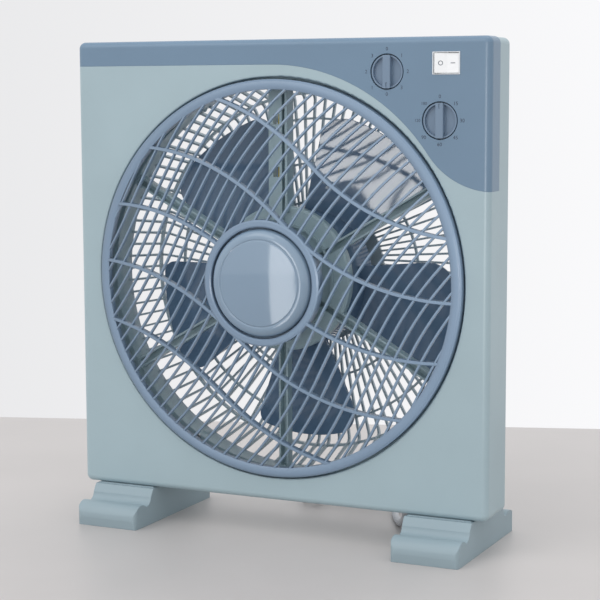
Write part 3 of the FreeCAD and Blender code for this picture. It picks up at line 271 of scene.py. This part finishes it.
def camera():
    """The view from the fan's right and a little above it."""
    cam = bpy.data.objects.new("camera", bpy.data.cameras.new("camera"))
    bpy.context.scene.collection.objects.link(cam)
    forward = Vector((math.sin(YAW) * math.cos(PITCH), math.cos(YAW) * math.cos(PITCH), math.sin(PITCH)))
    level_right = Vector((math.cos(YAW), -math.sin(YAW), 0))
    level_up = level_right.cross(forward)
    right = math.cos(ROLL) * level_right + math.sin(ROLL) * level_up
    up = -math.sin(ROLL) * level_right + math.cos(ROLL) * level_up
    turn = Matrix((right, up, -forward)).transposed().to_4x4()
    cam.matrix_world = Matrix.Translation(EYE) @ turn
    cam.data.sensor_width = SENSOR_MM
    cam.data.lens = LENS_MM
    cam.data.clip_end = CLIP_END
    bpy.context.scene.camera = cam


def soft_box(name, place, aim, width, height, radiance):
    """A rectangular lamp of a given brightness."""
    data = bpy.data.lights.new(name, "AREA")
    data.shape = "RECTANGLE"
    data.size, data.size_y = width, height
    data.energy = radiance * math.pi * width * height
    lamp = bpy.data.objects.new(name, data)
    bpy.context.scene.collection.objects.link(lamp)
    lamp.location = place
    lamp.rotation_mode = "QUATERNION"
    lamp.rotation_quaternion = (Vector(aim) - Vector(place)).to_track_quat("-Z", "Y")
    lamp.visible_camera = False
    return lamp


def node_group(name, nodes):
    """A collection of CAD nodes for a lamp to light."""
    group = bpy.data.collections.new(name)
    for node in nodes:
        group.objects.link(NODES[node])
    return group


BACKDROP_TINT = (0.985, 0.985, 1.0, 1)
GLOW_FROM, GLOW_TO = -0.57, -0.25           # X of the directions over which the backdrop brightens
GLOW_LEFT, GLOW_RIGHT = 0.84, 0.97
# the axis of a direction, where along it the change starts and ends, and the gain past its end
FADES = (("X", 0.0, 0.6, 0.80), ("Y", 0.1, -0.4, 1.30))


def backdrop():
    """A white studio: brighter towards the right of the view and behind the camera, dimmer beside the fan."""
    world = bpy.data.worlds.new("studio")
    bpy.context.scene.world = world
    world.use_nodes = True
    nt = world.node_tree
    sky = nt.nodes["Background"]
    sky.inputs["Color"].default_value = BACKDROP_TINT
    coord = nt.nodes.new("ShaderNodeTexCoord")
    split = nt.nodes.new("ShaderNodeSeparateXYZ")
    glow = nt.nodes.new("ShaderNodeMapRange")
    glow.inputs["From Min"].default_value = GLOW_FROM
    glow.inputs["From Max"].default_value = GLOW_TO
    glow.inputs["To Min"].default_value = GLOW_LEFT
    glow.inputs["To Max"].default_value = GLOW_RIGHT
    nt.links.new(coord.outputs["Generated"], split.inputs["Vector"])
    nt.links.new(split.outputs["X"], glow.inputs["Value"])
    strength = glow.outputs["Result"]
    for axis, start, end, gain in FADES:
        fade = nt.nodes.new("ShaderNodeMapRange")
        fade.inputs["From Min"].default_value = start
        fade.inputs["From Max"].default_value = end
        fade.inputs["To Max"].default_value = gain
        fade.inputs["To Min"].default_value = 1.0
        product = nt.nodes.new("ShaderNodeMath")
        product.operation = "MULTIPLY"
        nt.links.new(split.outputs[axis], fade.inputs["Value"])
        nt.links.new(strength, product.inputs[0])
        nt.links.new(fade.outputs["Result"], product.inputs[1])
        strength = product.outputs["Value"]
    nt.links.new(strength, sky.inputs["Strength"])


# name: place, point aimed at, width, height, radiance
SOFT_BOXES = {"key": ((-1.1, -1.9, 2.0), (0, 0, 0.25), 1.4, 1.4, 1.3),
              "top": ((0.3, 0.2, 2.4), (0, 0, 0.2), 1.6, 1.6, 0.8),
              "slat_fill": ((1.2, -0.9, 0.12), (0, -0.05, AXIS_Z), 0.8, 0.8, 8.0)}
GLOSS_CARDS = {"cap_gloss": ((-0.100, -0.47, 0.190), (0, -0.07, AXIS_Z), 0.095, 0.34, 3.4),
               "blade_gloss": ((0.02, -0.85, 0.01), (0.06, 0.0, 0.32), 0.75, 0.46, 15.0),
               "edge_gloss": ((0.30, -0.85, 0.27), (0.19, -0.04, 0.27), 0.20, 0.42, 9.0)}
# the nodes that a lamp is kept to
LIT_NODES = {"cap_gloss": ["louver_cap"], "blade_gloss": ["fan_blade"], "slat_fill": ["louver_grille"],
             "edge_gloss": ["front_shell", "control_panel"]}


def lights():
    """The studio's lamps. A gloss card is bright, and gives gloss but no other light."""
    backdrop()
    for name, row in {**SOFT_BOXES, **GLOSS_CARDS}.items():
        lamp = soft_box(name, *row)
        if name in GLOSS_CARDS:
            lamp.visible_diffuse = False
            lamp.visible_transmission = False
        if name in LIT_NODES:
            lamp.light_linking.receiver_collection = node_group(name + "_lit", LIT_NODES[name])


TABLE_EDGE = ((-0.5616, 0.3364), (0.1325, 0.5649))      # two places on the table's far edge
TABLE_REACH, TABLE_T = 3.0, 0.03                        # from its middle to a side, and its thickness
TABLE_ROUGH, TABLE_TINT = 0.42, 0.03
CREASE, CREASE_DEPTH = 0.25, 0.002
CREASE_SIZE, CREASE_DETAIL = 7.0, 6.0


def stage():
    """A pale table, set a little askew to the fan, that ends against the bright backdrop."""
    a, b = (Vector((x, y, 0)) for x, y in TABLE_EDGE)
    along = (b - a).normalized()
    inward = Vector((along.y, -along.x, 0))
    mid = (a + b) / 2
    corners = [mid - along * TABLE_REACH, mid + along * TABLE_REACH,
               mid + along * TABLE_REACH + inward * 2 * TABLE_REACH,
               mid - along * TABLE_REACH + inward * 2 * TABLE_REACH]
    verts = corners + [c - Vector((0, 0, TABLE_T)) for c in corners]
    faces = [(3, 2, 1, 0), (4, 5, 6, 7), (0, 1, 5, 4), (1, 2, 6, 5), (2, 3, 7, 6), (3, 0, 4, 7)]
    table = mesh_object("table", verts, faces)
    mat, nt, bsdf = shader("table_top")
    crumple = noise(nt, CREASE_SIZE, CREASE_DETAIL)
    tinted(nt, bsdf, crumple, srgb(197, 193, 191), TABLE_TINT)
    glossed(nt, bsdf, crumple, TABLE_ROUGH)
    grained(nt, bsdf, crumple, CREASE, CREASE_DEPTH)
    table.data.materials.append(mat)


# ---- power cord ---------------------------------------------------------------------------------
def coil_points():
    """Turns that wind in on the table, out again on top of those, and one and a half times round on a third
    layer, to come down beside the coil at the plug."""
    layer_points = LAYER_TURNS * COIL_STEPS
    top_points = int(TOP_TURNS * COIL_STEPS)
    drop_from = DROP_TURN * COIL_STEPS + SETTLE_STEPS
    points = []
    for k in range(1, 2 * layer_points + top_points + 1):
        angle = 2 * math.pi * k / COIL_STEPS
        layer = (k - 1) // layer_points
        part = k - layer * layer_points
        climb = min(1.0, part / CLIMB_STEPS)
        if layer == 0:
            radius = COIL_OUT_R - COIL_TURN * part / COIL_STEPS
            height = 0.0
        elif layer == 1:
            radius = COIL_OUT_R - COIL_TURN * (LAYER_TURNS - part / COIL_STEPS)
            height = COIL_LAYER * climb
        else:
            radius = COIL_OUT_R - TOP_WAVE * math.sin(math.pi * part / top_points) ** 2
            height = COIL_LAYER * (1 + climb)
        drop = max(0.0, k - drop_from) / (COIL_STEPS / 2 - SETTLE_STEPS)
        height -= drop * (2 * COIL_LAYER - PLUG_HEIGHT)
        squash = COIL_SQUASH if math.cos(angle) < 0 and not drop else 1.0
        spot = (radius * math.cos(angle) * squash, radius * math.sin(angle), height)
        points.append(COIL_CENTRE + Vector(spot))
    return points


def power_cord():
    """The lead from its gland to the plug, in one smooth curve."""
    data = bpy.data.curves.new("lead", "CURVE")
    data.dimensions = "3D"
    line = data.splines.new("NURBS")
    points = [Vector(p) for p in CORD_ROUTE] + coil_points()
    line.points.add(len(points) - 1)
    for p, q in zip(line.points, points):
        p.co = (*q, 1)
    line.order_u = 3
    line.use_endpoint_u = True
    data.bevel_depth = CORD_R
    data.bevel_resolution = 4
    data.use_fill_caps = True
    lead = bpy.data.objects.new("lead", data)
    bpy.context.scene.collection.objects.link(lead)
    data.materials.append(CABLE)
    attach(lead, "housing")
    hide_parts("power_cord", "cord_coil")


# ---- printed marks ------------------------------------------------------------------------------
PRINT_T = 0.00006                           # half the thickness of a printed mark
DIGIT = 0.0044                              # height of the numbers
LONG_DIGIT = 0.82 * DIGIT                   # and of those with three figures
# dial: its knob, the radius that its numbers stand on, the numbers, and the angle of the first
DIAL_MARKS = {"speed": ("speed_knob", 0.0190, ("0", "1", "2", "3", "0", "1", "2", "3"), -90.0),
              "timer": ("timer_knob", 0.0200, ("0", "15", "30", "45", "60", "90", "120", "180"), 90.0)}
SYMBOL_REACH = 0.0052                       # from the rocker's middle to each symbol
RING_OUT_R, RING_IN_R, RING_STEPS = 0.0020, 0.0014, 28
BAR_HALF_W, BAR_HALF_H = 0.0020, 0.00035
PROBE = 0.01                                # how far in front of the rocker its face is looked for


def text_solid(text, size):
    """Vertices and faces of a thin raised text, centred in its own plane."""
    data = bpy.data.curves.new("text", "FONT")
    data.body = text
    data.size = size
    data.align_x, data.align_y = "CENTER", "CENTER"
    data.extrude = PRINT_T
    data.resolution_u = 3
    holder = bpy.data.objects.new("text", data)
    bpy.context.scene.collection.objects.link(holder)
    mesh = bpy.data.meshes.new_from_object(holder)
    verts = [v.co.copy() for v in mesh.vertices]
    faces = [tuple(f.vertices) for f in mesh.polygons]
    bpy.data.objects.remove(holder)
    bpy.data.curves.remove(data)
    bpy.data.meshes.remove(mesh)
    return verts, faces


def dial_marks():
    """Numbers round the two dials, each at an eighth of a turn."""
    for name, (knob, radius, labels, first) in DIAL_MARKS.items():
        low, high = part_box(knob)
        cx, cz = (low.x + high.x) / 2, (low.z + high.z) / 2
        verts, faces = [], []
        for k, label in enumerate(labels):
            a = math.radians(first - 360.0 * k / len(labels))
            x, z = cx + radius * math.cos(a), cz + radius * math.sin(a)
            points, rings = text_solid(label, LONG_DIGIT if len(label) > 2 else DIGIT)
            base = len(verts)
            verts += [Vector((x + p.x, FACE_Y - p.z, z + p.y)) for p in points]
            faces += [tuple(base + i for i in ring) for ring in rings]
        marks = mesh_object(name + "_marks", verts, faces)
        marks.data.materials.append(INK)
        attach(marks, "housing")


def rocker_symbols():
    """An open ring and a short bar printed on the rocker's two flats."""
    rocker = NODES["rocker"]
    low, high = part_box("rocker")
    mid_x, mid_z = (low.x + high.x) / 2, (low.z + high.z) / 2

    def face_y(x, z):
        hit, spot, _, _ = rocker.ray_cast(Vector((x, low.y - PROBE, z)), Vector((0, 1, 0)))
        return spot.y if hit else low.y

    def slab(outline, inner=None):
        """A raised print that follows the rocker's face, from rings of (x, z)."""
        rings = [outline, inner] if inner else [outline]
        out = []
        for lift in (PRINT_T, -PRINT_T):
            out += [Vector((x, face_y(x, z) - lift, z)) for ring in rings for x, z in ring]
        n = len(outline)
        back = n * len(rings)
        if inner:
            sides = [(i, (i + 1) % n, n + (i + 1) % n, n + i) for i in range(n)]
            ends = sides + [tuple(v + back for v in face[::-1]) for face in sides]
        else:
            ends = [tuple(range(n)), tuple(range(2 * n - 1, n - 1, -1))]
        for ring in range(len(rings)):
            for i in range(n):
                a, b = ring * n + i, ring * n + (i + 1) % n
                ends.append((b, a, a + back, b + back) if ring == 0 else (a, b, b + back, a + back))
        return out, ends

    def circle(x, r):
        angles = [2 * math.pi * k / RING_STEPS for k in range(RING_STEPS)]
        return [(x + r * math.cos(a), mid_z + r * math.sin(a)) for a in angles]

    ring_x, bar_x = mid_x - SYMBOL_REACH, mid_x + SYMBOL_REACH
    ring = slab(circle(ring_x, RING_OUT_R), circle(ring_x, RING_IN_R))
    bar = slab([(bar_x - BAR_HALF_W, mid_z - BAR_HALF_H), (bar_x + BAR_HALF_W, mid_z - BAR_HALF_H),
                (bar_x + BAR_HALF_W, mid_z + BAR_HALF_H), (bar_x - BAR_HALF_W, mid_z + BAR_HALF_H)])
    for name, (verts, faces) in (("rocker_ring", ring), ("rocker_bar", bar)):
        mark = mesh_object(name, verts, faces)
        mark.data.materials.append(SYMBOL)
        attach(mark, "rocker_switch")


finish_nodes()
camera()
power_cord()
lights()
stage()
dial_marks()
rocker_symbols()
bpy.context.scene.view_settings.view_transform = "Standard"
